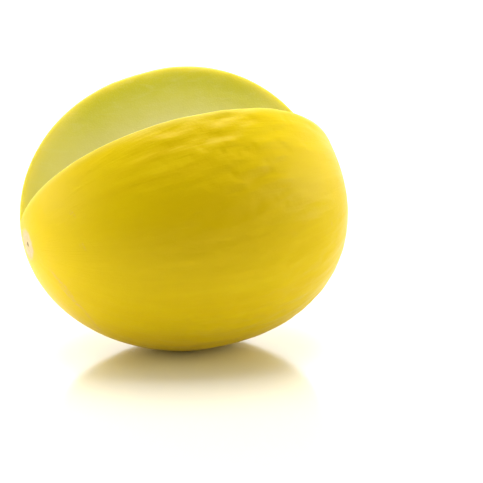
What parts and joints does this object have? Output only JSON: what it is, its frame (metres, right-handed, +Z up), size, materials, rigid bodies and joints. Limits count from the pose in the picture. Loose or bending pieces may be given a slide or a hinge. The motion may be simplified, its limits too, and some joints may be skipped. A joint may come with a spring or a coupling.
{
  "type": "cut canary melon",
  "caption": "Whole yellow canary melon lying on its side, with a long wedge cut out of its top from end to end and the seed cavity open inside.",
  "frame": {"origin": "centre of the small flat spot that the melon rests on, on the floor", "axes": "+Z up, out of the opening of the cut; +X level, under the melon's axis, towards its fatter stem end; +Y completes the frame, on the side of the higher cut face. The melon's own axis rises 8.7 degrees above +X."},
  "size_m": [0.1834, 0.1587, 0.1524],
  "materials": {
    "rind": "bright yellow waxy rind, satin, with fine lengthwise wrinkles",
    "flesh": "moist pale flesh, yellow-green under the rind and cream by the seeds",
    "pulp": "wet fibrous cream to golden pulp",
    "seed": "smooth cream seeds, wet",
    "cork": "dry corky scars at the two ends"
  },
  "bodies": {
    "root": {"melon": "rind"}
  },
  "joints": []
}
